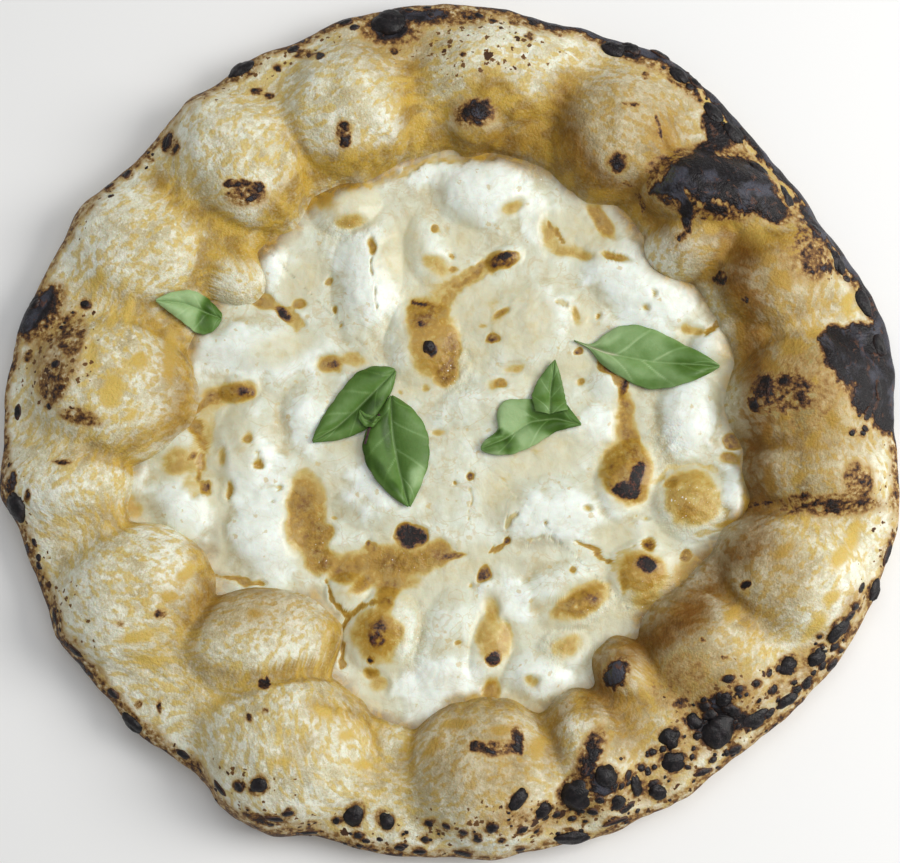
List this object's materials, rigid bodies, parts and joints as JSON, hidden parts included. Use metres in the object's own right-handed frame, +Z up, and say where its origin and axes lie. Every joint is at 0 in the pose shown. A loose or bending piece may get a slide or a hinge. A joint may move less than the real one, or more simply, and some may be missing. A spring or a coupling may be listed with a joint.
{
  "type": "pizza",
  "caption": "Whole round pizza with a tall puffed and charred dough rim, a pool of melted white cheese and fresh basil leaves, for resting on a flat surface",
  "frame": {"origin": "under the middle of the pizza, on the surface that it rests on", "axes": "+Z up out of the cheese side, +X to the right and +Y away from the viewer as the pizza is pictured from above"},
  "size_m": [0.3212, 0.3087, 0.0331],
  "materials": {
    "baked_dough": "dry baked wheat dough, cream and tan, with golden flecks and black charred blisters",
    "melted_cheese": "melted fresh mozzarella and cream, moist and slightly glossy, toasted golden in places",
    "basil": "fresh basil leaf, satin green with fine veins"
  },
  "bodies": {
    "root": {"crust": "baked_dough", "melted_cheese": "melted_cheese", "basil_leaf_left": "basil", "basil_leaf_upper": "basil", "basil_leaf_lower": "basil", "basil_leaf_folded": "basil", "basil_leaf_point": "basil", "basil_leaf_right": "basil"}
  },
  "joints": []
}
